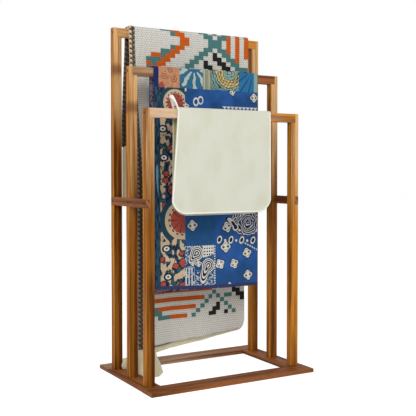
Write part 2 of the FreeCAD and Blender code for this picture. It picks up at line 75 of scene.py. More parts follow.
def srgb(red, green, blue):
    """A colour written as it shows on a screen, 0 to 255, as the shader's linear colour."""
    shares = [channel / 255 for channel in (red, green, blue)]
    linear = [s / 12.92 if s <= 0.04045 else ((s + 0.055) / 1.055) ** 2.4 for s in shares]
    return (*linear, 1.0)


# ---- arithmetic on a material's sockets ----


def operator(operation):
    """A method of Field that joins it to other terms in one operation."""
    return lambda self, *others: self.calc(operation, *others)


class Field:
    """A number that varies over a surface: a socket of a node tree that takes part in formulas."""

    def __init__(self, tree, socket):
        self.tree, self.socket = tree, socket

    def calc(self, operation, *others):
        node = self.tree.nodes.new("ShaderNodeMath")
        node.operation = operation
        for slot, term in enumerate((self, *others)):
            feed(self.tree, node.inputs[slot], term)
        return Field(self.tree, node.outputs[0])

    __add__ = operator("ADD")
    __sub__ = operator("SUBTRACT")
    __mul__ = operator("MULTIPLY")
    __truediv__ = operator("DIVIDE")
    __and__ = operator("MINIMUM")
    __or__ = operator("MAXIMUM")
    __lt__ = operator("LESS_THAN")
    __gt__ = operator("GREATER_THAN")
    abs = operator("ABSOLUTE")
    sin = operator("SINE")
    cos = operator("COSINE")

    def __rsub__(self, other):
        return self.calc("MULTIPLY_ADD", -1.0, other)

    def __invert__(self):
        return 1.0 - self

    def wrap(self, step):
        """The distance from the middle of the nearest step, from minus half a step to half a step."""
        return self.calc("WRAP", step / 2, -step / 2)

    def between(self, low, high):
        return (self > low) & (self < high)

    def soft(self, low, high):
        """0 below low, 1 above high, and smooth between."""
        node = self.tree.nodes.new("ShaderNodeMapRange")
        node.interpolation_type = "SMOOTHSTEP"
        feed(self.tree, node.inputs["Value"], self)
        node.inputs["From Min"].default_value = low
        node.inputs["From Max"].default_value = high
        return Field(self.tree, node.outputs["Result"])


def feed(tree, socket, term):
    """Puts a number, a colour as it shows on a screen or another socket's output into a socket."""
    if isinstance(term, Field):
        tree.links.new(term.socket, socket)
        return
    if isinstance(term, tuple):
        term = srgb(*term)
    socket.default_value = term[:3] if socket.type == "VECTOR" else term


def length(x, y):
    return (x * x + y * y).calc("SQRT")


def mix(amount, first, second):
    """The first colour where amount is 0 and the second where it is 1."""
    tree = amount.tree
    node = tree.nodes.new("ShaderNodeMix")
    node.data_type = "RGBA"
    feed(tree, node.inputs[0], amount)
    feed(tree, node.inputs[6], first)
    feed(tree, node.inputs[7], second)
    return Field(tree, node.outputs[2])


def tint(colour, amount):
    """The colour made lighter or darker by a factor that varies."""
    node = amount.tree.nodes.new("ShaderNodeVectorMath")
    node.operation = "SCALE"
    feed(amount.tree, node.inputs[0], colour)
    feed(amount.tree, node.inputs["Scale"], amount)
    return Field(amount.tree, node.outputs[0])


def noise(x, y, z, scale, detail=2.0, roughness=0.5):
    """Noise from 0 to 1 at a place, any of whose three parts may be a plain number."""
    tree = next(term.tree for term in (x, y, z) if isinstance(term, Field))
    place = tree.nodes.new("ShaderNodeCombineXYZ")
    for slot, term in enumerate((x, y, z)):
        feed(tree, place.inputs[slot], term)
    node = tree.nodes.new("ShaderNodeTexNoise")
    tree.links.new(place.outputs[0], node.inputs["Vector"])
    node.inputs["Scale"].default_value = scale
    node.inputs["Detail"].default_value = detail
    node.inputs["Roughness"].default_value = roughness
    return Field(tree, node.outputs["Fac"])


def polar(dx, dy):
    """The distance from a centre and the angle round it."""
    return length(dx, dy), dy.calc("ARCTAN2", dx)


def disc(x, y, centre, radius):
    return length(x - centre[0], y - centre[1]) < radius


def ring(x, y, centre, radius, wide):
    return (length(x - centre[0], y - centre[1]) - radius).abs() < wide / 2


def ragged(x, y, size, amount):
    """A place shaken by a little noise, so that what is drawn there has an uneven edge."""
    shake = noise(x, y, 7.0, 1 / size) - 0.5
    return x + shake * amount, y - shake * amount


def coordinates(tree, kind):
    """The three parts of a surface's own coordinates, of one kind."""
    coords = tree.nodes.new("ShaderNodeTexCoord")
    parts = tree.nodes.new("ShaderNodeSeparateXYZ")
    tree.links.new(coords.outputs[kind], parts.inputs[0])
    return [Field(tree, part) for part in parts.outputs]


def new_material(name, roughness, specular=0.5, sheen=0.0, kind="Object"):
    """A material, its shader, and X, Y and Z of a point of the piece in metres."""
    material = bpy.data.materials.new(name)
    material.use_nodes = True
    shader = material.node_tree.nodes["Principled BSDF"]
    shader.inputs["Roughness"].default_value = roughness
    shader.inputs["Specular IOR Level"].default_value = specular
    shader.inputs["Sheen Weight"].default_value = sheen
    return material, shader, coordinates(material.node_tree, kind)


def new_cloth(name, roughness, specular=0.5, sheen=0.0):
    """A material, its shader, and the place across and along the cloth in millimetres."""
    material, shader, spread = new_material(name, roughness, specular, sheen, "UV")
    return material, shader, [part * 1000.0 for part in spread[:2]]


def finish_material(shader, colour, height=None, depth=0.0):
    """Gives the shader its colour and, in metres, the relief of its surface."""
    tree = shader.id_data
    feed(tree, shader.inputs["Base Color"], colour)
    if height is not None:
        bump = tree.nodes.new("ShaderNodeBump")
        bump.inputs["Strength"].default_value = 1.0
        bump.inputs["Distance"].default_value = depth
        feed(tree, bump.inputs["Height"], height)
        tree.links.new(bump.outputs["Normal"], shader.inputs["Normal"])


# ---- materials of the ladder ----


def end_grain(across, bands):
    """Growth rings on a cut end."""
    rings = length(across[0] + 0.013, across[1] - 0.09) * 420.0 + bands * 9.0
    return mix(rings.sin().soft(-0.6, 0.9), (146, 96, 58), (108, 64, 36))


def wood(name, axis, shift, first, second, side_light=None, turn=(0.0, 1.0), knot=None):
    """Oiled hardwood with straight, streaky grain along one axis, and rings on the end grain.

    first and second are (light, dark) pairs of colours, for the two ends of the turn from one to the
    other along the grain; where they differ, the paler pair is painted reflection of the white
    surround. side_light is the pair of the faces that look to the left or right, painted light for how
    the light falls on them, and a knot darkens the wood about its place along the grain."""
    material, shader, place = new_material(name, 0.55, specular=0.08)
    facing = coordinates(shader.id_data, "Normal")
    along = place[axis] + shift
    across = [place[i] + shift * 0.37 for i in range(3) if i != axis]
    streaks = noise(across[0] * 60.0, across[1] * 60.0, along * 2.2, 1.0, 6.0, 0.62)
    bands = noise(across[0] * 16.0, across[1] * 16.0, along * 0.9, 1.0, 2.0, 0.5)
    pores = noise(across[0] * 900.0, across[1] * 900.0, along * 28.0, 1.0, 2.0, 0.6)
    stripe = streaks.soft(0.39, 0.59)

    # Painted reflection: along the grain the colour turns between two pairs, and where they differ the paler
    # one stands for the white surround's reflection.
    share = (place[axis] + bands * 0.2 - 0.1).soft(*turn)
    grain = mix(share, mix(stripe, first[1], first[0]), mix(stripe, second[1], second[0]))
    # Painted light: the faces that look to the left or right take a pair of their own, for how the light
    # falls on them.
    if side_light:
        sideways = facing[0].abs().soft(0.5, 0.8)
        grain = mix(sideways, grain, mix(stripe, side_light[1], side_light[0]))
    grain = tint(grain, bands * 0.5 + 0.75)
    grain = mix(pores.soft(0.6, 0.74) * 0.35, grain, (70, 34, 10))
    if knot:
        near = (place[axis] - knot + streaks * 0.03 - 0.015).abs()
        grain = mix((~near.soft(0.004, 0.03)) * 0.7, grain, (104, 56, 14))
    end = facing[axis].abs().soft(0.6, 0.8)
    colour = mix(end, grain, end_grain(across, bands))
    finish_material(shader, colour, streaks * 0.5 + pores * 0.5, 0.0005)
    return material


def dark_steel():
    """Black-oxide steel of the screws, worn a little in small random specks."""
    material, shader, (x, y, z) = new_material("screw_steel", 0.38)
    wear = noise(x, y, z, 900.0, 3.0)
    shader.inputs["Metallic"].default_value = 0.85
    finish_material(shader, mix(wear.soft(0.5, 0.75), (38, 34, 32), (78, 70, 64)), wear, 0.0001)
    return material


# Pairs of a light and a dark colour of the grain. The pale tan, pinkish and dusty pairs are painted
# reflection of the white surround; golden, on the posts' side faces, is painted light.
TAN_REFLECTION = ((206, 164, 112), (150, 102, 56))
PINK_REFLECTION = ((212, 180, 150), (186, 150, 118))
GOLDEN = ((192, 124, 40), (128, 72, 16))
AMBER = ((184, 120, 40), (126, 70, 16))
BROWN = ((136, 82, 22), (84, 42, 4))
REDDISH = ((146, 88, 46), (92, 50, 22))
DUSTY_REFLECTION = ((172, 136, 106), (122, 86, 60))
# Where the posts and the rails turn from their first colours to their second, along them in metres.
# The pale pair is painted reflection: at the tops of the posts, and at the left ends of the rails and
# of the base's back board.
POST_TURN = (0.5, 0.82)
BACK_POST_TURN = (0.75, 1.0)
RAIL_TURN = (-0.15, 0.3)

# The grain's axis, a shift that gives each piece its own grain, and then wood's colours (the first,
# the second, and the side faces' painted light), turn and knot.
WOODEN = {
    "base_front_board": (0, 0.31, REDDISH, REDDISH),
    "base_back_board": (0, 1.77, DUSTY_REFLECTION, REDDISH, None, RAIL_TURN),
    "base_left_board": (1, 2.53, REDDISH, REDDISH),
    "base_right_board": (1, 3.19, REDDISH, REDDISH),
    "front_left_post": (2, 4.41, BROWN, TAN_REFLECTION, GOLDEN, POST_TURN),
    "front_right_post": (2, 5.83, AMBER, TAN_REFLECTION, GOLDEN, POST_TURN),
    "middle_left_post": (2, 6.29, BROWN, TAN_REFLECTION, GOLDEN, POST_TURN, 0.905),
    "middle_right_post": (2, 7.67, BROWN, TAN_REFLECTION, GOLDEN, POST_TURN),
    "back_left_post": (2, 8.13, BROWN, TAN_REFLECTION, GOLDEN, BACK_POST_TURN, 1.042),
    "back_right_post": (2, 9.91, BROWN, TAN_REFLECTION, GOLDEN, BACK_POST_TURN),
    "front_top_rail": (0, 10.37, PINK_REFLECTION, GOLDEN, None, RAIL_TURN),
    "middle_top_rail": (0, 11.59, DUSTY_REFLECTION, REDDISH, None, RAIL_TURN),
    "back_top_rail": (0, 12.71, TAN_REFLECTION, GOLDEN, None, RAIL_TURN),
    "left_side_rail": (1, 13.23, REDDISH, REDDISH),
    "right_side_rail": (1, 14.47, REDDISH, REDDISH),
}


def dress(node, material):
    node.data.materials.clear()
    node.data.materials.append(material)


for name, (axis, shift, *colours) in WOODEN.items():
    dress(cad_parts[name], wood(f"oiled_{name}", axis, shift, *colours))
steel = dark_steel()
for name in ("rail_screws", "side_rail_screws"):
    dress(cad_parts[name], steel)


# ---- sheets of cloth ----


class Drape:
    """Cloth over a rail. A place on it is (across, down) in metres, down from the start of the front fall.

    behind is where the back fall starts, and fall is the height of both starts. inset is how far the
    cloth's middle surface is from the rail, and width is the cloth's own. edges gives its two sides in
    X at a distance down a fall, and out says how far its folds stand off there."""

    def __init__(self, rail, inset, width, edges, out):
        self.front, self.back, self.top = RAILS[rail]
        self.inset, self.width = inset, width
        self.edges, self.out = edges, out
        self.radius = inset + EASED_EDGE
        self.arc = self.radius * math.pi / 2
        self.deck = (self.back - self.front) - 2 * EASED_EDGE
        self.behind = -(2 * self.arc + self.deck)
        self.fall = self.top + inset - self.radius

    def place(self, across, down):
        """Points of the cloth's middle surface."""
        mid_y = (self.front + self.back) / 2
        from_middle = down + self.arc + self.deck / 2
        side = np.sign(from_middle)
        run = np.abs(from_middle) - self.deck / 2
        angle = np.clip(run / self.radius, 0, math.pi / 2)
        hang = np.maximum(run - self.arc, 0)
        y_off = np.minimum(np.abs(from_middle), self.deck / 2) + self.radius * np.sin(angle)
        z = self.top + self.inset - self.radius * (1 - np.cos(angle)) - hang
        left, right = self.edges(hang, side)
        x = left + (right - left) * across / self.width
        y = mid_y - side * (y_off + self.out(across, hang, side))
        return np.stack([x, y, z], axis=-1)


def unit(vectors):
    return vectors / np.maximum(np.linalg.norm(vectors, axis=-1, keepdims=True), 1e-9)


def bend_rows(drape, past, rows, *more):
    """Rows of a sheet with closer ones over the rail, which go on past its faces by a little."""
    close = np.linspace(drape.behind - past, past, 30)
    return np.unique(np.concatenate([rows, close, *more]))


def level(down):
    """A straight hem, as a function of the place across."""
    return lambda across: np.full_like(across, down)


def add_object(name, data):
    piece = bpy.data.objects.new(name, data)
    bpy.context.scene.collection.objects.link(piece)
    return piece


def smooth_piece(name, vertices, faces, materials, slots=None):
    """A smooth mesh in the scene; slots gives the material of each face."""
    mesh = bpy.data.meshes.new(name)
    mesh.from_pydata(vertices.tolist(), [], faces)
    for material in materials:
        mesh.materials.append(material)
    if slots is not None:
        mesh.polygons.foreach_set("material_index", slots.astype(np.int32))
    mesh.polygons.foreach_set("use_smooth", np.ones(len(faces), dtype=bool))
    mesh.update()
    return add_object(name, mesh)


def spread_cloth(piece, places):
    """Keeps each vertex's place on the flat cloth, for the materials."""
    mesh = piece.data
    layer = mesh.uv_layers.new(name="Cloth")
    loop_vertices = np.zeros(len(mesh.loops), dtype=np.int32)
    mesh.loops.foreach_get("vertex_index", loop_vertices)
    layer.data.foreach_set("uv", places[loop_vertices].astype(np.float32).reshape(-1))


def sheet_faces(down):
    """Faces of a grid of places, without those that are pulled flat at a hem."""
    wide, tall = down.shape
    number = np.arange(down.size).reshape(down.shape)
    faces = []
    for i in range(wide - 1):
        for j in range(tall - 1):
            corners = [number[i, j], number[i + 1, j], number[i + 1, j + 1], number[i, j + 1]]
            if down[i + 1, j] == down[i + 1, j + 1]:
                del corners[2]
            if down[i, j] == down[i, j + 1]:
                del corners[-1]
            if len(corners) > 2:
                faces.append(corners)
    return faces


def border_edges(faces):
    """The edges that only one face has."""
    uses = {}
    for face in faces:
        for start, end in zip(face, face[1:] + face[:1]):
            uses.setdefault(frozenset((start, end)), []).append((start, end))
    return [pairs[0] for pairs in uses.values() if len(pairs) == 1]


def rim_directions(points, faces, rim, normals):
    """The way out of the sheet at each vertex of its rim, along its surface."""
    inward = np.zeros_like(points)
    for face in faces:
        centre = points[face].mean(axis=0)
        for corner in face:
            inward[corner] += centre - points[corner]
    outward = -inward[rim]
    outward -= (outward * normals[rim]).sum(axis=1, keepdims=True) * normals[rim]
    return unit(outward)


def sheet_object(name, drape, columns, rows, low_front, low_back, thick, materials, pick=None):
    """A closed sheet of cloth on a grid of places, whose rows past a hem are pulled up to it.

    pick gives the material of an outer face from its place; the inner face has the last material."""
    across, down = np.meshgrid(columns, rows, indexing="ij")
    down = np.clip(down, low_back(across), low_front(across))
    step = 1e-4
    by_across = drape.place(across + step, down) - drape.place(across - step, down)
    by_down = drape.place(across, down + step) - drape.place(across, down - step)
    normals = unit(np.cross(by_down, by_across)).reshape(-1, 3)
    points = drape.place(across, down).reshape(-1, 3)
    places = np.stack([across.reshape(-1), down.reshape(-1)], axis=-1)

    outer = sheet_faces(down)
    border = border_edges(outer)
    used = sorted({corner for face in outer for corner in face})
    rim = sorted({corner for edge in border for corner in edge})
    count = len(used)
    order = {corner: i for i, corner in enumerate(used)}
    rim_order = {corner: 2 * count + i for i, corner in enumerate(rim)}
    vertices = np.concatenate([
        points[used] + normals[used] * thick / 2,
        points[used] - normals[used] * thick / 2,
        points[rim] + rim_directions(points, outer, rim, normals) * thick * 0.35,
    ])
    faces = [[order[c] for c in face] for face in outer]
    faces += [[order[c] + count for c in reversed(face)] for face in outer]
    for start, end in border:
        a, b = order[start], order[end]
        faces.append([b, a, rim_order[start], rim_order[end]])
        faces.append([rim_order[end], rim_order[start], a + count, b + count])

    slots = np.zeros(len(faces))
    if pick:
        slots[:len(outer)] = [pick(*places[face].mean(axis=0)) for face in outer]
    slots[len(outer):2 * len(outer)] = len(materials) - 1
    piece = smooth_piece(name, vertices, faces, materials, slots)
    spread_cloth(piece, np.concatenate([places[used], places[used], places[rim]]))
    return piece


def tube_object(name, path, radius, materials, sides=8, stretches=None):
    """A round tube along points, closed at both ends. stretches gives the material of each of its steps."""
    path = np.asarray(path)
    tangent = unit(np.gradient(path, axis=0))
    helper = np.where(np.abs(tangent[:, :1]) > 0.9, [[0.0, 0.0, 1.0]], [[1.0, 0.0, 0.0]])
    first = unit(np.cross(tangent, helper))
    second = np.cross(tangent, first)
    turn = np.arange(sides) * 2 * math.pi / sides
    widths = np.broadcast_to(np.asarray(radius, dtype=float), (len(path),))[:, None, None]
    circle = np.cos(turn)[None, :, None] * first[:, None] + np.sin(turn)[None, :, None] * second[:, None]
    vertices = (path[:, None] + circle * widths).reshape(-1, 3)
    number = np.arange(len(vertices)).reshape(-1, sides)
    beside = np.roll(number, -1, axis=1)
    walls = np.stack([number[:-1], beside[:-1], beside[1:], number[1:]], axis=-1)
    faces = walls.reshape(-1, 4).tolist() + [number[0, ::-1].tolist(), number[-1].tolist()]
    slots = None
    if stretches is not None:
        slots = np.append(np.repeat(stretches, sides), [stretches[0], stretches[-1]])
    return smooth_piece(name, vertices, faces, materials, slots)


def ease(value):
    """A smooth step from 0 to 1."""
    value = np.clip(value, 0, 1)
    return value * value * (3 - 2 * value)


def along_points(points, turn):
    """Places on the straight lines from point to point, at shares of the way from 0 to 1."""
    stations = np.linspace(0, 1, len(points))
    return np.stack([np.interp(turn, stations, line) for line in zip(*points)], axis=-1)


def corner_lift(distance, radius):
    """How far a round corner's edge is above the hem, at a distance from the side."""
    short = np.clip(radius - distance, 0, radius)
    return radius - np.sqrt(np.maximum(radius * radius - short * short, 0))


# ---- the knitted throw ----

STITCH_WIDE = 0.0048
STITCH_TALL = 0.00385
CELL = 4  # stitches across and along one cell of the pattern
KNIT_WIDTH = 0.462
KNIT_BACK = 0.59  # length of the back fall
KNIT_TOP_ROW = -0.0042  # where the pattern's first row starts, from the start of the front fall
LINING_MARGIN = 0.0194  # how far the lining reaches beyond the knit, under the braid
LINING_WIDTH = KNIT_WIDTH + LINING_MARGIN
HEM_CORNER = 0.028  # radius of the round corner at the right end of the front hem
THROW_FALL = round(RAILS["back"][2] - EASED_EDGE, 4)  # Z where the throw's front fall starts


def knit_yarn(name, colour, dark, gap_shade):
    """Thick knit of one colour, in columns of stitches. dark is painted shade on the yarn away from the
    stitches' legs, and gap_shade is how much painted shade darkens the gaps between them.
    """
    material, shader, (across, down) = new_cloth(name, 0.9, specular=0.15, sheen=0.05)
    x = across.wrap(STITCH_WIDE * 1000)
    y = down.wrap(STITCH_TALL * 1000)
    leg = (x.abs() * 1.2 + y).wrap(STITCH_TALL * 1000).abs()
    gap = length(x, y) < 0.9
    pair = STITCH_WIDE * 2000
    offset = ((down.wrap(STITCH_TALL * 4000) > 0) * 0.5) * pair
    spot = length((across + offset).wrap(pair), down.wrap(STITCH_TALL * 2000)) < 2.1
    fuzz = noise(across, down, 0.0, 0.9, 3.0)
    # Painted shade: the yarn darkens away from the stitches' legs, where the relief is low.
    colour = mix(leg.soft(1.1, 1.9), colour, dark)
    # Painted shade in the gaps and holes between the stitches.
    colour = mix((gap | spot * 0.9) * gap_shade, colour, (66, 62, 56))
    colour = tint(colour, fuzz * 0.35 + 0.83)
    finish_material(shader, colour, 1.0 - leg * 0.5 - gap * 0.6 + fuzz * 0.2, 0.0008)
    return material


def knit_colours():
    # Each yarn: its colour, its painted shade away from the stitches' legs, and how much painted shade
    # darkens its gaps.
    return [
        knit_yarn("knit_cream", (236, 233, 224), (206, 203, 194), 0.75),
        knit_yarn("knit_teal", (80, 134, 132), (58, 106, 106), 0.6),
        knit_yarn("knit_orange", (216, 98, 10), (186, 76, 6), 0.5),
        knit_yarn("knit_black", (24, 23, 24), (12, 12, 12), 0.3),
    ]


CREAM, TEAL, ORANGE, BLACK = range(4)


def black_stair(column, row):
    """Two flights of stairs that go down to the right from under the lattice."""
    for start, first in ((7, 4), (9, 6)):
        stair = start - column
        if 0 <= stair <= 5 and 0 <= row - (first + stair) <= 1:
            return True
    return (column, row) in {(0, 8), (1, 9)}


def orange_bar(column, away):
    """Upright bars beside the lattice: each is longer than the last, and the one at the edge is short."""
    reach = {4: 1.5, 2: 3.5, 0: 2.5}
    return column in reach and abs(away) <= reach[column]


def upper_figure(column, row):
    """The pattern near the rail: a stepped lattice, an arrow, bars and stairs, mirrored about its middle."""
    away = row - 1.5
    mirrored = row if away > 0 else 3 - row
    step = abs(column - 7)
    if black_stair(column, mirrored):
        return BLACK
    lattice = 0 < column < 15 and abs(away) - 0.5 <= step <= abs(away) + 0.5
    if lattice or (column, mirrored) == (0, 7):
        return TEAL
    if orange_bar(column, away):
        return ORANGE
    point = column - 13
    if point >= 0 and abs(abs(away) - point) <= 0.5 and mirrored <= 8:
        return ORANGE
    teal_bars = {(16, 3), (17, 4), (18, 4), (18, 5), (19, 6), (20, 6), (21, 6), (20, 7), (21, 8)}
    if (column, mirrored) in teal_bars:
        return TEAL
    if (column, mirrored) in {(19, 5), (20, 5), (21, 7), (20, 8), (19, 8)}:
        return ORANGE
    return CREAM


LOWER_STAIRS = {
    (6, 3), (6, 4), (7, 4), (7, 5), (8, 5), (4, 5), (2, -1), (2, 0), (1, 0), (1, 1), (0, 1), (0, 2),
}
LOWER_BARS = {(21, 3), (21, 4), (20, 4), (20, 5), (18, 5), (19, 5)}


def lower_figure(column, row):
    """The pattern near the front hem: a stepped arch, bars that run in from the left, and stairs."""
    if (column, row) in LOWER_STAIRS:
        return BLACK
    if (column, row) in LOWER_BARS or 0 <= row <= 5 and row == abs(column - 7):
        return TEAL
    if row == 1 and column in (3, 4):
        return TEAL
    ends = {-1: 24, 1: 24, 3: 20, 5: 17}
    if row in ends and row + 9 <= column <= ends[row]:
        return ORANGE
    return CREAM


LOWER_START = 60  # rows from the top figure's first row to the lower figure's


def knit_pick(across, down):
    """The colour of a stitch, from the cell of the pattern that it is in."""
    column = int((KNIT_WIDTH - across) / (CELL * STITCH_WIDE))
    row = math.floor((down - KNIT_TOP_ROW) / (CELL * STITCH_TALL))
    if row > LOWER_START - 4:
        return lower_figure(column, row - LOWER_START)
    return upper_figure(column, row)


def knit_edges(hang, side):
    """The throw narrows as far as half way down in front; behind, its left side leans out."""
    narrow = ease(hang / 0.6) * (side > 0)
    lean = 0.011 * ease(hang / 0.32) * (side < 0)
    return -0.219 + 0.029 * narrow - lean, 0.243 - 0.021 * narrow


def lining_edges(hang, side):
    """The lining reaches under the braid in front, and behind only by the rail and below the braid."""
    left, right = knit_edges(hang, side)
    past_braid = np.maximum(ease((hang - 0.395) / 0.012), ease((0.02 - hang) / 0.02))
    return left - LINING_MARGIN * np.where(side > 0, 1.0, past_braid), right


def knit_folds(across, hang, side):
    """Soft folds that deepen towards the hem."""
    deep = np.clip(hang / 1.1, 0, 1) ** 1.2
    share = across / KNIT_WIDTH
    wave = np.sin(share * 2 * math.pi * 2.0 + 0.6)
    wave = wave + 0.45 * np.sin(share * 2 * math.pi * 4.6 + 1.9 + hang * 1.6)
    return deep * 0.0035 * (1.45 + wave) * np.where(side > 0, 1.0, 0.6)


def knit_hem(across):
    """How far down the throw's front hem is: it rises to the right and has a round corner there."""
    height = 0.077 + 0.033 * across / KNIT_WIDTH
    return THROW_FALL - height - corner_lift(KNIT_WIDTH - across, HEM_CORNER)


def knitted_throw():
    drape = Drape("back", 0.0077, KNIT_WIDTH, knit_edges, knit_folds)
    columns = np.append(np.arange(0, KNIT_WIDTH, STITCH_WIDE), KNIT_WIDTH)
    columns = KNIT_WIDTH - columns[::-1]
    first = math.ceil((drape.behind - KNIT_BACK - 0.03) / STITCH_TALL)
    rows = KNIT_TOP_ROW + STITCH_TALL * np.arange(first, 300)  # they reach past both hems
    materials = knit_colours()
    throw = sheet_object(
        "knitted_throw", drape, columns, rows, knit_hem, level(drape.behind - KNIT_BACK), 0.0046,
        materials + [materials[CREAM]], knit_pick,
    )
    return throw, knit_hem_cord(drape)


def lining_cotton():
    """Plain woven cotton, slightly creased."""
    material, shader, (across, down) = new_cloth("lining_cotton", 0.85, sheen=0.15)
    weave = (across * 5.2).sin() * (down * 5.2).sin()
    crease = noise(across * 0.02, down * 0.008, 0.0, 1.0, 4.0)
    colour = mix(crease.soft(0.35, 0.7), (220, 212, 178), (206, 195, 156))
    finish_material(shader, tint(colour, weave * 0.06 + 0.97), weave * 0.5 + crease * 4.0, 0.0002)
    return material


def lining_hem(across):
    """How far down the lining's front hem is: it shows below the knit, most at the left."""
    height = 0.050 + 0.055 * across / LINING_WIDTH
    return THROW_FALL - height - corner_lift(LINING_WIDTH - across, HEM_CORNER)


def lining_folds(across, hang, side):
    """The lining follows the knit's folds, and hangs flat under the braid."""
    return knit_folds(np.maximum(across - LINING_MARGIN, 0), hang, side)


def knit_lining(cotton):
    drape = Drape("back", 0.0028, LINING_WIDTH, lining_edges, lining_folds)
    columns = np.linspace(0, LINING_WIDTH, 84)
    rows = bend_rows(drape, 0.01, np.arange(drape.behind - 0.6, 1.16, 0.006))
    low_back = level(drape.behind - 0.592)
    return sheet_object("throw_lining", drape, columns, rows, lining_hem, low_back, 0.003, [cotton])


def knit_hem_cord(drape):
    """The stitched line along the throw's front hem: twisted yarns that show as dots, darkest on the left."""
    material, shader, (x, y, z) = new_material("knit_hem_cord", 0.85)
    dot = (x * 900.0).sin().soft(0.5, 0.95)
    dark = mix(x.soft(-0.10, -0.07), (24, 28, 26), (170, 166, 150))
    finish_material(shader, mix(dot, dark, (196, 192, 172)), dot, 0.0004)
    across = np.linspace(0.002, KNIT_WIDTH - 0.03, 160)
    path = drape.place(across, knit_hem(across) - 0.001)
    path[:, 1] -= 0.003
    return tube_object("knit_hem_cord", path, 0.0026, [material])


BRAID_PITCH = 0.0165
BRAID_WIDE = 0.020
BRAID_START = 0.403  # how far down it starts behind the rail
BRAID_END = 1.108  # how far down it ends in front
BRAID_BEHIND = 0.133  # Y from which the braid hangs behind the rail, where painted shade darkens it


def braid_strand(drape, phase, name, yarns, radius):
    """One strand of the braid, which swings across its width and dips behind the others in turn.

    yarns are its colours where it runs through the middle, at the left edge and at the right edge."""
    rows = np.arange(drape.behind - BRAID_START, BRAID_END, BRAID_PITCH / 12)
    swing = rows * 2 * math.pi / BRAID_PITCH + phase
    across = BRAID_WIDE / 2 + np.sin(swing) * BRAID_WIDE * 0.31
    path = drape.place(across, rows)
    step = 1e-4
    along = drape.place(across, rows + step) - drape.place(across, rows - step)
    sideways = drape.place(across + step, rows) - drape.place(across - step, rows)
    path = path + unit(np.cross(along, sideways)) * (np.cos(2 * swing) * 0.0013)[:, None]
    swell = radius * (0.86 + 0.22 * np.abs(np.sin(swing)))
    at_edge = np.sin(swing[:-1] + math.pi / 12)
    stretches = np.where(at_edge < -0.25, 1, np.where(at_edge > 0.45, 2, 0))
    return tube_object(name, path, swell, yarns, stretches=stretches)


def braid_yarn(name, upper, lower):
    """Twisted yarn of the braid, whose colours turn duller lower down the throw, with painted shade
    where it hangs behind the rail.
    """
    material, shader, (x, y, z) = new_material(name, 0.85, sheen=0.05)
    ply = ((x + z) * 2600.0).sin()
    fuzz = noise(x, y, z, 1500.0, 3.0)
    colour = mix(z.soft(0.82, 0.98), lower, upper)
    # Painted shade where the braid hangs behind the rail.
    colour = mix((y > BRAID_BEHIND) * 0.8, colour, (30, 30, 26))
    colour = tint(colour, ply * 0.12 + fuzz * 0.4 + 0.78)
    finish_material(shader, colour, ply * 0.4 + fuzz * 0.4, 0.0004)
    return material


BRAID_YARNS = {
    "orange": ((228, 146, 78), (176, 112, 70)),
    "teal": ((44, 84, 84), (64, 82, 80)),
    "black": ((22, 26, 24), (20, 24, 24)),
    "pale": ((216, 214, 202), (112, 126, 122)),
}
# The yarns of each strand: through the middle, at the left edge and at the right edge.
BRAID_STRANDS = [("teal", "orange", "orange"), ("black", "black", "teal"), ("teal", "pale", "black")]


def knit_braid():
    def edges(hang, side):
        left = knit_edges(hang, side)[0] - 0.0204
        return left, left + BRAID_WIDE

    def out(across, hang, side):
        return 0.003 * np.clip(hang, 0, 1)

    drape = Drape("back", 0.0072, BRAID_WIDE, edges, out)
    yarns = {word: braid_yarn(f"braid_{word}", *colours) for word, colours in BRAID_YARNS.items()}
    strands = []
    for i, words in enumerate(BRAID_STRANDS):
        phase = -i * 2 * math.pi / len(BRAID_STRANDS)
        own = [yarns[word] for word in words]
        strands.append(braid_strand(drape, phase, f"knit_braid_strand_{i + 1}", own, 0.0038))
    for strand in strands[1:]:
        strand.parent = strands[0]
    return strands


# The loose corner's lower edge, from its back left end round to its right end, in metres: it crosses the
# side board, leaves it near the middle post, and lies on the floor from there on.
LOOSE_HEM = [
    (-0.272, 0.101, 0.0165),
    (-0.254, 0.080, 0.0165),
    (-0.251, 0.030, 0.0165),
    (-0.249, -0.006, 0.0160),
    (-0.236, -0.009, 0.0075),
    (-0.204, -0.008, 0.0045),
    (-0.184, -0.007, 0.0045),
    (-0.156, 0.024, 0.0070),
    (-0.143, 0.064, 0.0170),
]
# Its upper edge, where it hangs from the lining: X and Z.
LOOSE_TOP = [
    (-0.272, 0.052), (-0.236, 0.056), (-0.214, 0.074), (-0.190, 0.0755), (-0.160, 0.066), (-0.143, 0.056),
]


def loose_corner(cotton):
    """The lining's loose lower left corner, spread forward over the base frame."""
    steps, rises = 48, 18
    turn = np.linspace(0, 1, steps)
    hem = along_points(LOOSE_HEM, turn)
    top_x = LOOSE_TOP[0][0] + turn * (LOOSE_TOP[-1][0] - LOOSE_TOP[0][0])
    top_z = np.interp(top_x, *zip(*LOOSE_TOP))
    top_y = 0.1015 - 0.005 * np.sin(math.pi * turn)
    top = np.stack([top_x, top_y, top_z], axis=-1)
    share = np.linspace(0, 1, rises)
    grid = top[:, None] + (hem - top)[:, None] * share[None, :, None]
    belly = np.sin(math.pi * share)[None] * (1 - np.abs(2 * turn - 1))[:, None]
    grid[:, :, 2] += 0.010 * belly
    grid[:, :, 0] += 0.0018 * np.sin(7 * share[None] + 9 * turn[:, None]) * (share[None] > 0)
    number = np.arange(steps * rises).reshape(steps, rises)
    faces = [
        [number[i, j], number[i, j + 1], number[i + 1, j + 1], number[i + 1, j]]
        for i in range(steps - 1) for j in range(rises - 1)
    ]
    piece = smooth_piece("loose_lining_corner", grid.reshape(-1, 3), faces, [cotton])
    places = np.stack(np.meshgrid(range(steps), range(rises), indexing="ij"), axis=-1)
    spread_cloth(piece, places.reshape(-1, 2) * [0.0045, 0.006])
    skin = piece.modifiers.new("Thickness", "SOLIDIFY")
    skin.thickness = 0.003
    skin.offset = 0
    return piece


# ---- the patchwork blanket ----

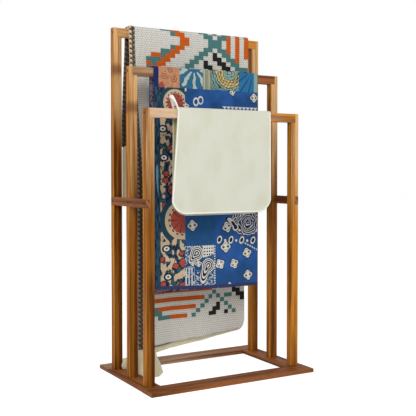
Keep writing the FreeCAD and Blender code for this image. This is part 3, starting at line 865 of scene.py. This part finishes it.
QUILT_WIDTH = 0.409
QUILT_INSET = 0.00305
QUILT_HEM = 0.303  # Z of the front hem at its left end
SEAM_DOWN = 0.062  # the long seam below the rail, and the edges of the patches, in metres
STRIP_EDGE = 0.021
COLUMN_EDGE = 0.115
BLOCK_EDGE = 0.233
BLOCK_TOP = 0.598
TOP_EDGES = (0.016, 0.095, 0.185, 0.217, 0.330, 0.394)
NAVY = (20, 34, 62)
INK = (22, 30, 44)
CORAL = (160, 72, 60)
SAND = (192, 172, 140)
WHITE = (208, 206, 196)
DEEP_TEAL = (30, 62, 78)


def patch(name, draw):
    """A patch of printed cotton: draw gives its colour at a place, the same behind the rail as in front."""
    material, shader, (across, down) = new_cloth(f"patch_{name}", 0.85, specular=0.15)
    down = down.abs()
    weave = (across * 4.2).sin() * (down * 4.2).sin()
    fade = noise(across, down, 1.0, 0.03, 4.0)
    colour = tint(draw(across, down), fade * 0.5 + weave * 0.05 + 0.74)
    finish_material(shader, colour, weave * 0.4 + fade * 5.0, 0.0002)
    return material


def petal_flower(colour, x, y, centre, size, turn=0.0):
    """A small white flower of the bandana: four petals with a dark edge and dark spots inside."""
    distance, angle = polar(x - centre[0], y - centre[1])
    reach = distance / ((angle * 4.0 + turn).cos() * 0.13 + 0.87)
    colour = mix(reach < size * 1.2, colour, NAVY)
    colour = mix(reach < size, colour, WHITE)
    spots = (reach.between(size * 0.22, size * 0.62)) & ((angle * 2.0 + turn).cos() > 0.72)
    return mix(spots | (reach.between(size * 0.66, size * 0.74)), colour, INK)


def teardrop(x, y, centre, radius, tip, longer, bend):
    """1 on the outline of a paisley drop, less inside it. Its tip points along an angle, and bends."""
    distance, angle = polar(x - centre[0], y - centre[1])
    off = (angle - tip + distance * bend).wrap(2 * math.pi)
    point = ((off * off) * -7.0).calc("EXPONENT")
    return distance / (point * (longer * radius) + radius)


def paisley(colour, x, y, centre, radius, tip, longer, bend=0.0):
    """A white-lined drop with lines nested inside it."""
    drop = teardrop(x, y, centre, radius, tip, longer, bend)
    colour = mix(drop < 1.12, colour, NAVY)
    lines = ((drop - 0.99).abs() < 0.075) | ((drop - 0.73).abs() < 0.06) | ((drop - 0.42).abs() < 0.07)
    return mix(lines | (drop < 0.16), colour, WHITE)


BANDANA_FLOWERS = [
    (144, 528, 19, 0.4), (280, 538, 19, 1.2), (274, 607, 20, 0.2), (365, 633, 18, 0.9), (251, 666, 18, 2.0),
    (310, 668, 18, 1.5), (369, 712, 18, 0.5), (304, 66, 12, 0.8), (394, 82, 16, 0.1), (117, 123, 14, 1.1),
    (113, 62, 12, 2.2), (290, 744, 12, 0.3),
]


def bandana(x, y):
    """The blue bandana: scattered flowers, two loops, a row of darts, and its border and roundel."""
    cloud = noise(x, y, 4.0, 0.012, 2.0)
    colour = mix(cloud.soft(0.35, 0.65), (32, 72, 124), (40, 86, 152))
    colour = mix((x < 233) & y.between(440, 600), colour, (32, 80, 128))
    for across, down, size, turn in BANDANA_FLOWERS:
        colour = petal_flower(colour, x, y, (across, down), size, turn)
    loops = ring(x * 1.35, y, (158 * 1.35, 106), 12, 6) | ring(x * 1.35, y, (176 * 1.35, 100), 12, 6)
    colour = mix(loops, colour, WHITE)
    darts = ((x.wrap(16).abs() * 1.2 + y) < 127) & y.between(117, 127) & (x > 262)
    colour = mix(darts, colour, WHITE)
    return bandana_roundel(bandana_border(colour, x, y), x, y)


def bandana_border(colour, x, y):
    """A row of curls with dots between them, and a slanting row of dots that ends it."""
    inside = x > 240
    low = y + x * -0.06 - 566
    curl = length((x - 249).wrap(47) + low * 0.25, low * 0.72)
    dot = length((x - 272).wrap(47), low - 2)
    row = low.abs() < 18
    colour = mix(inside & row & (curl < 11), colour, NAVY)
    colour = mix(inside & row & (curl.between(6, 10) | (dot < 4.6)), colour, WHITE)
    slant = (y - 600) - (x - 360) * 0.5
    dots = length(x.wrap(9), slant) < 3.0
    return mix(dots & (x > 352), colour, WHITE)


def bandana_roundel(colour, x, y):
    """Nested scrolls of white lines in a dark oval field, with a leaf beside them."""
    dx, dy = x - 368, y - 524
    distance, angle = polar(dx, dy)
    shake = noise(x, y, 2.0, 0.045, 2.0) * 3.0
    scroll = (distance * 0.115 + angle * 0.159 + shake).wrap(1.0).abs()
    field = length(dx * 0.62, dy) < 46
    colour = mix(field, colour, (26, 50, 92))
    colour = mix(field & (scroll < 0.17), colour, WHITE)
    leaf = teardrop(x, y, (316, 540), 13, -2.1, 2.6, 0.006)
    colour = mix(leaf < 1.15, colour, NAVY)
    return mix(leaf.between(0.6, 1.0), colour, WHITE)


def paisley_block(x, y):
    """A square of dense paisley: two drops, a white corner patch, small flowers and scrolls."""
    scroll = noise(x, y, 9.0, 0.075, 3.0)
    colour = mix(((scroll - 0.5).abs() < 0.022) & ((y > 690) | (x < 150)), (30, 64, 112), WHITE)
    colour = mix((scroll - 0.57).abs() < 0.016, colour, (86, 130, 158))
    upright = ((x - 131).wrap(11).abs() < 1.8) & (x < 152) & (y > 672)
    colour = mix(upright, colour, WHITE)
    corner = (x > 183) & (x < 226) & (y < 640 - (x - 183) * 0.2)
    colour = mix(corner, colour, WHITE)
    speck = (length(x.wrap(9.5), y.wrap(10.5)) < 2.9) & corner
    colour = mix(speck, colour, INK)
    for across, down in ((144, 655), (166, 660)):
        colour = petal_flower(colour, x, y, (across, down), 12, 0.6)
    colour = paisley(colour, x, y, (160, 624), 23, 2.45, 0.75, 0.004)
    colour = paisley(colour, x, y, (204, 668), 23, 2.2, 1.7, 0.004)
    dots = (length((x - 230), y.wrap(8.5)) < 2.6) | (length(x.wrap(9), y - 600) < 2.0)
    return mix(dots, colour, WHITE)


EYES = [(31, 201), (35, 297), (44, 603), (50, 698)]
CORAL_SPOTS = [
    (56, 264, 7), (43, 352, 9), (41, 373, 10), (60, 398, 8), (66, 414, 8), (37, 458, 10), (108, 654, 15),
    (27, 638, 8), (105, 734, 14), (31, 722, 10), (78, 664, 10), (96, 562, 10), (80, 552, 8), (101, 622, 8),
    (92, 330, 10), (88, 210, 9),
]


def coral_flower(colour, x, y, centre, radius):
    """A large flower: coral petals with dark ribs, a beaded sand ring, and dark teal to its upper left."""
    dx, dy = x - centre[0], y - centre[1]
    distance, angle = polar(dx, dy)
    colour = mix((distance < radius * 1.95) & ((dx + dy) < radius * 0.6), colour, DEEP_TEAL)
    colour = mix(distance < radius * 1.5, colour, SAND)
    beads = distance.between(radius * 1.08, radius * 1.2) & ((angle * 16.0).cos() > 0.2)
    colour = mix(beads, colour, INK)
    scallop = distance + (angle * 9.0).cos().abs() * -3.0
    colour = mix(scallop < radius * 0.98, colour, CORAL)
    ribs = ((angle * 4.5).cos().abs() < 0.16) & distance.between(radius * 0.34, radius)
    return mix(ribs, colour, INK)


def eye_flower(colour, x, y, centre):
    """A small white flower like an eye with a dark outline, wider than it is high."""
    dx, dy = x - centre[0], y - centre[1]
    lens = length(dx * 0.72, dy)
    colour = mix(lens < 13, colour, NAVY)
    colour = mix(lens < 8, colour, WHITE)
    return mix(lens < 3, colour, INK)


def floral_column(x, y):
    """The sand-coloured floral print: navy leaves, coral spots and flowers, and two large flowers."""
    leaf = noise(x, y * 0.8, 3.0, 0.055, 1.5, 0.4)
    sprig = noise(x * 1.4 + y * 0.5, y * 0.6, 8.0, 0.08, 1.0)
    colour = mix(leaf > 0.515, SAND, NAVY)
    colour = mix(leaf.between(0.57, 0.62), colour, (44, 86, 98))
    colour = mix(((leaf - 0.5).abs() < 0.008) | (sprig > 0.66), colour, INK)
    colour = mix(ring(x, y, (98, 396), 52, 9) | ring(x, y, (98, 396), 44, 2), colour, NAVY)
    wobbly = ragged(x, y, 9.0, 12.0)
    for across, down, size in CORAL_SPOTS:
        colour = mix(disc(*wobbly, (across, down), size + 3), colour, INK)
        colour = mix(disc(*wobbly, (across, down), size), colour, CORAL)
    for centre in EYES:
        colour = eye_flower(colour, x, y, centre)
    colour = coral_flower(colour, x, y, (78, 112), 30)
    colour = mix(disc(x, y * 0.7, (74, 112 * 0.7), 9), colour, WHITE)
    colour = coral_flower(colour, x, y, (104, 508), 44)
    return mix(noise(x, y, 5.0, 0.5, 1.0).soft(0.6, 0.75) * 0.4, colour, INK)


def side_strip(x, y):
    """The dark strip at the left, with streaks along it and one pale leaf."""
    streak = noise(x * 0.35, y * 0.035, 6.0, 1.0, 4.0)
    colour = mix(streak.soft(0.45, 0.6), (20, 36, 56), (54, 92, 110))
    leaf = teardrop(x * 1.6, y * 0.22, (9 * 1.6, 352 * 0.22), 7, 1.2, 1.1, 0.0) < 1
    return mix(leaf, colour, (106, 160, 188))


def cobalt(x, y):
    speck = noise(x, y, 1.0, 0.3, 2.0)
    return mix(speck.soft(0.4, 0.7), (18, 32, 84), (28, 48, 104))


def peach_print(x, y):
    """Peach ground with veins, ringed circles and a coral bud in the corner."""
    vein = noise(x, y, 2.0, 0.07, 2.0)
    colour = mix((vein - 0.5).abs() < 0.014, (184, 132, 98), (140, 94, 66))
    for centre, radius in (((37, 26), 8), ((74, 34), 9), ((60, 4), 7)):
        circle = ring(x, y, centre, radius, 2.4) | disc(x, y, centre, radius * 0.35)
        colour = mix(circle, colour, (120, 66, 46))
    return mix(disc(*ragged(x, y, 9.0, 8.0), (27, 56), 11), colour, CORAL)


def rayed_print(x, y):
    """Teal-blue ground with pale strokes that spread out downwards."""
    distance, angle = polar(x - 152, y + 14)
    shake = noise(x, y, 3.0, 0.06, 2.0) * 0.5
    wave = (angle * 11.0 + shake * 6.0).cos()
    colour = mix((wave > 0.25) & distance.between(22, 82), (46, 98, 130), (164, 180, 174))
    return mix((wave - 0.2).abs() < 0.1, colour, (24, 52, 82))


def stripes(x, y):
    band = (x * 0.40).sin()
    colour = mix(band.soft(-0.3, 0.3), (126, 138, 128), (178, 168, 134))
    return mix((x - 185).wrap(10.5).abs() < 0.8, colour, (84, 84, 76))


def feather_print(x, y):
    """Teal-grey and straw-yellow feathers in nested arcs with dark outlines."""
    arc = length(x - 292, y + 4) + (noise(x, y, 2.0, 0.07, 2.0) - 0.5) * 18
    colour = mix(arc.between(30, 58), (126, 158, 150), (196, 172, 112))
    colour = mix(arc > 66, colour, (112, 146, 142))
    barbs = ((x + y * 0.6).wrap(13).abs() < 1.1) & arc.between(30, 64)
    return mix((arc.wrap(9.5).abs() < 1.5) | barbs, colour, (54, 62, 58))


def fan_print(x, y):
    """Bright blue fans with thin dark ribs."""
    angle = polar(x - 398, y + 22)[1]
    ribs = ((angle * 20.0).cos() > 0.82) & (x < 394)
    colour = mix(ribs, (40, 106, 150), (28, 64, 96))
    return mix(x > 394, colour, (122, 156, 148))


TOP_PRINTS = (cobalt, peach_print, rayed_print, stripes, feather_print, fan_print, fan_print)
LOWER_PRINTS = (side_strip, floral_column, paisley_block, bandana)


def quilt_pick(across, down):
    """Which patch a place is in: the row over the rail first, and then the large patches."""
    down = abs(down)
    if down < SEAM_DOWN:
        return sum(across > edge for edge in TOP_EDGES)
    if across < COLUMN_EDGE:
        return len(TOP_PRINTS) + (across > STRIP_EDGE)
    in_block = across < BLOCK_EDGE and down > BLOCK_TOP
    return len(TOP_PRINTS) + (2 if in_block else 3)


def quilt_reverse():
    """The reverse of the patches: faded violet-grey with dark sprigs."""
    material, shader, (across, down) = new_cloth("quilt_reverse", 0.85)
    sprig = noise(across, down, 3.0, 0.12, 3.0)
    colour = mix(sprig.soft(0.52, 0.58), (122, 108, 122), (34, 30, 38))
    finish_material(shader, colour, sprig, 0.0002)
    return material


def quilt_folds(across, hang, side):
    """Shallow folds that deepen towards the hems."""
    deep = np.clip(hang / 0.75, 0, 1)
    share = across / QUILT_WIDTH
    wave = np.sin(share * 2 * math.pi * 1.5 + 2.2)
    wave = wave + 0.4 * np.sin(share * 2 * math.pi * 4.1 + 0.7 + hang * 3)
    return deep * 0.0028 * (1.4 + wave)


def patchwork_blanket():
    drape = Drape("middle", QUILT_INSET, QUILT_WIDTH, lambda hang, side: (-0.206, 0.203), quilt_folds)
    seams = [STRIP_EDGE, COLUMN_EDGE, BLOCK_EDGE, *TOP_EDGES]
    columns = np.unique(np.concatenate([np.linspace(0, QUILT_WIDTH, 96), seams]))
    cuts = [-BLOCK_TOP, -SEAM_DOWN, SEAM_DOWN, BLOCK_TOP]
    rows = bend_rows(drape, 0.008, np.arange(drape.behind - 0.76, 0.75, 0.005), cuts)

    def hem(across):
        share = across / QUILT_WIDTH
        return drape.fall - (QUILT_HEM - 0.014 * share - 0.004 * np.sin(math.pi * share))

    patches = [patch(draw.__name__, draw) for draw in (*TOP_PRINTS, *LOWER_PRINTS)]
    quilt = sheet_object(
        "patchwork_cloth", drape, columns, rows, hem, level(drape.behind - 0.755), 0.004,
        patches + [quilt_reverse()], quilt_pick,
    )
    return quilt, hem


def hem_binding(hem):
    """The plain navy binding folded round the blanket's front hem."""
    material, shader, (across, down) = new_cloth("navy_binding", 0.8)
    weave = (across * 6.0).sin() * (down * 6.0).sin()
    stitch = ((down - 3.0).abs() < 0.5) & (across.wrap(4.0).abs() < 1.2)
    colour = mix(stitch, tint((24, 38, 84), weave * 0.1 + 0.95), (60, 76, 120))
    finish_material(shader, colour, weave, 0.0001)
    drape = Drape("middle", QUILT_INSET, QUILT_WIDTH, lambda hang, side: (-0.2065, 0.2035), quilt_folds)
    columns = np.linspace(0, QUILT_WIDTH, 96)
    rows = np.arange(0.70, 0.76, 0.0015)
    return sheet_object(
        "hem_binding", drape, columns, rows, lambda across: hem(across) + 0.0008,
        lambda across: hem(across) - 0.009, 0.0056, [material],
    )


# ---- the fleece ----

FLEECE_WIDTH = 0.356
FLEECE_CORNER = 0.052
FLEECE_HEM = 0.5575  # Z of the front hem, and of the back hem that shows a little below it
FLEECE_BACK_HEM = 0.5515


def fleece_pile(name, light, dark):
    """Short soft pile."""
    material, shader, (across, down) = new_cloth(name, 0.95, sheen=0.4)
    shader.inputs["Sheen Roughness"].default_value = 0.5
    nap = noise(across, down, 0.0, 0.7, 4.0, 0.6)
    cloud = noise(across * 0.5, down * 0.3, 5.0, 0.03, 3.0)
    colour = mix(cloud.soft(0.35, 0.7), light, dark)
    threads = (across * 2.1).sin() + (down * 2.1).sin()
    colour = tint(colour, nap * 0.14 + threads * 0.008 + 0.93)
    finish_material(shader, colour, nap, 0.0005)
    return material


def fleece_edges(hang, side):
    """The front fall's left side leans out."""
    lean = np.clip((hang - 0.01) / 0.28, 0, 1) * (side > 0)
    return -0.183 - 0.023 * lean, 0.173 + 0 * hang


def fleece_folds(across, hang, side):
    share = across / FLEECE_WIDTH
    deep = np.clip(hang / 0.33, 0, 1)
    return deep * 0.0018 * (1.3 + np.sin(share * 2 * math.pi * 1.3 + 1.0) + 0.3 * np.sin(share * 24 + 2))


def fleece_throw():
    drape = Drape("front", 0.0033, FLEECE_WIDTH, fleece_edges, fleece_folds)
    side = FLEECE_CORNER * (1 - np.cos(np.linspace(0, math.pi / 2, 14)))
    flat = np.linspace(FLEECE_CORNER, FLEECE_WIDTH - FLEECE_CORNER, 50)[1:-1]
    columns = np.concatenate([side, flat, FLEECE_WIDTH - side[::-1]])
    rows = bend_rows(drape, 0.008, np.arange(drape.behind - 0.36, 0.36, 0.005))

    def lift(across):
        return corner_lift(np.minimum(across, FLEECE_WIDTH - across), FLEECE_CORNER)

    def hem(across):
        return drape.fall - FLEECE_HEM - lift(across)

    def back_hem(across):
        return drape.behind - (drape.fall - FLEECE_BACK_HEM) + lift(across)

    face = fleece_pile("fleece_face", (205, 205, 190), (198, 198, 178))
    reverse = fleece_pile("fleece_reverse", (186, 174, 132), (170, 157, 114))
    fleece = sheet_object("fleece_cloth", drape, columns, rows, hem, back_hem, 0.0044, [face, reverse])
    return fleece, drape, hem


def fleece_piping(drape, hem):
    """The smooth binding round the front panel's edge, and its material."""
    material, shader, (x, y, z) = new_material("white_piping", 0.6)
    rib = noise(x, y, z, 700.0, 2.0)
    finish_material(shader, mix(rib, (226, 224, 212), (238, 237, 228)), rib, 0.0002)
    turn = np.linspace(0, math.pi / 2, 24)[1:]
    inset = 0.0022
    side_rows = np.linspace(-0.004, hem(np.array([inset]))[0] - 0.001, 70)
    left = np.full(len(side_rows), inset)
    left = np.append(left, inset + (FLEECE_CORNER - inset) * (1 - np.cos(turn)))
    middle = np.linspace(FLEECE_CORNER, FLEECE_WIDTH - FLEECE_CORNER, 60)[1:-1]
    across = np.concatenate([left, middle, FLEECE_WIDTH - left[::-1]])
    bottom = hem(across) - inset
    down = np.concatenate([side_rows, bottom[len(side_rows):-len(side_rows)], side_rows[::-1]])
    return tube_object("edge_piping", drape.place(across, down), 0.0032, [material], 10), material


# The loop's way from behind the rail, up, and down to the top of the front piping, in metres.
LOOP_PATH = [
    (-0.181, -0.111, 0.893),
    (-0.188, -0.113, 0.912),
    (-0.196, -0.120, 0.929),
    (-0.200, -0.130, 0.934),
    (-0.196, -0.139, 0.926),
    (-0.188, -0.144, 0.909),
    (-0.1815, -0.1447, 0.889),
]


def fleece_loop(material):
    """The end of the piping at the top left, which curls up over the rail in a thick loop."""
    turn = np.linspace(0, 1, 40)
    path = along_points(LOOP_PATH, turn)
    for _ in range(6):
        path[1:-1] = (path[:-2] + 2 * path[1:-1] + path[2:]) / 4
    radius = 0.0030 + 0.0046 * np.exp(-((turn - 0.5) / 0.16) ** 2)
    return tube_object("fleece_loop", path, radius, [material], 12)


# ---- build the pieces, and say what they ride on and stand for ----

cotton = lining_cotton()
throw, hem_cord = knitted_throw()
lining = knit_lining(cotton)
braid = knit_braid()
corner = loose_corner(cotton)
for piece in (throw, lining, corner, *braid, hem_cord):
    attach(piece, "knitted_throw")
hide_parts("knit_throw")
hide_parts("knit_lining")
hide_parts("knit_braid")
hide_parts("lining_corner")
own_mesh(corner)

quilt, quilt_hem = patchwork_blanket()
binding = hem_binding(quilt_hem)
quilt_pieces = ((quilt, "patchwork_blanket", "patchwork"), (binding, "blanket_binding", "navy_binding"))
for piece, node, slot in quilt_pieces:
    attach(piece, "patchwork")
    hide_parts(node)

fleece, fleece_drape, fleece_hem = fleece_throw()
piping, piping_cloth = fleece_piping(fleece_drape, fleece_hem)
loop = fleece_loop(piping_cloth)
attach(loop, "fleece")
for piece, node, slot in ((fleece, "fleece_throw", "fleece"), (piping, "fleece_piping", "piping")):
    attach(piece, "fleece")
    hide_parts(node)


# ---- floor, light and camera ----


def seen(tree):
    """1 for the rays that show the white surround: the camera's, and those that metal and glass pass on."""
    path = tree.nodes.new("ShaderNodeLightPath")
    kinds = ("Is Camera Ray", "Is Glossy Ray", "Is Transmission Ray")
    camera, glossy, passed = [Field(tree, path.outputs[kind]) for kind in kinds]
    return camera | glossy | passed


def stage_floor():
    """A pale floor that keeps the object's shadow and otherwise shows white."""
    mesh = bpy.data.meshes.new("floor")
    size = 30.0
    corners = [(-size, -size, 0), (size, -size, 0), (size, size, 0), (-size, size, 0)]
    mesh.from_pydata(corners, [], [[0, 1, 2, 3]])
    floor = add_object("floor", mesh)
    material, shader, (x, y, z) = new_material("pale_floor", 0.9, specular=0.0)
    tree = shader.id_data
    speck = noise(x, y, z, 60.0, 2.0)
    finish_material(shader, mix(speck, (250, 250, 250), (252, 252, 252)))
    glow = tree.nodes.new("ShaderNodeEmission")
    glow.inputs["Color"].default_value = (1, 1, 1, 1)
    glow.inputs["Strength"].default_value = 1.68
    blend = tree.nodes.new("ShaderNodeMixShader")
    feed(tree, blend.inputs[0], seen(tree) * 0.45)
    tree.links.new(shader.outputs[0], blend.inputs[1])
    tree.links.new(glow.outputs[0], blend.inputs[2])
    tree.links.new(blend.outputs[0], tree.nodes["Material Output"].inputs["Surface"])
    mesh.materials.append(material)


LAMPS_AIM = (0, 0, 0.6)


def soft_light(name, place, size, power):
    """A square lamp that looks at the middle of the object."""
    data = bpy.data.lights.new(name, "AREA")
    data.shape = "SQUARE"
    data.size = size
    data.energy = power
    lamp = add_object(name, data)
    lamp.location = place
    lamp.rotation_euler = (Vector(LAMPS_AIM) - Vector(place)).to_track_quat("-Z", "Y").to_euler()


def studio():
    """An even white surround, and three soft lamps."""
    world = bpy.data.worlds.new("studio")
    bpy.context.scene.world = world
    world.use_nodes = True
    tree = world.node_tree
    backdrop = tree.nodes["Background"]
    backdrop.inputs["Color"].default_value = (1, 1, 1, 1)
    feed(tree, backdrop.inputs["Strength"], seen(tree) * 0.55 + 0.45)
    soft_light("key", (-1.6, -2.6, 2.4), 1.6, 62)
    soft_light("fill", (2.4, -2.2, 1.4), 2.2, 26)
    soft_light("rear", (-1.2, 2.6, 2.2), 2.0, 30)


def photo_camera():
    data = bpy.data.cameras.new("camera")
    data.sensor_fit = "HORIZONTAL"
    data.sensor_width = 36.0
    data.lens = FOCAL_PIXELS / IMAGE * data.sensor_width
    data.shift_y = (HORIZON_ROW - IMAGE / 2) / IMAGE
    data.dof.use_dof = False
    camera = add_object("camera", data)
    camera.location = CAMERA_PLACE
    camera.rotation_euler = (math.pi / 2 + CAMERA_TILT, 0, -CAMERA_TURN)
    bpy.context.scene.camera = camera


stage_floor()
studio()
photo_camera()
bpy.context.scene.view_settings.view_transform = "Standard"
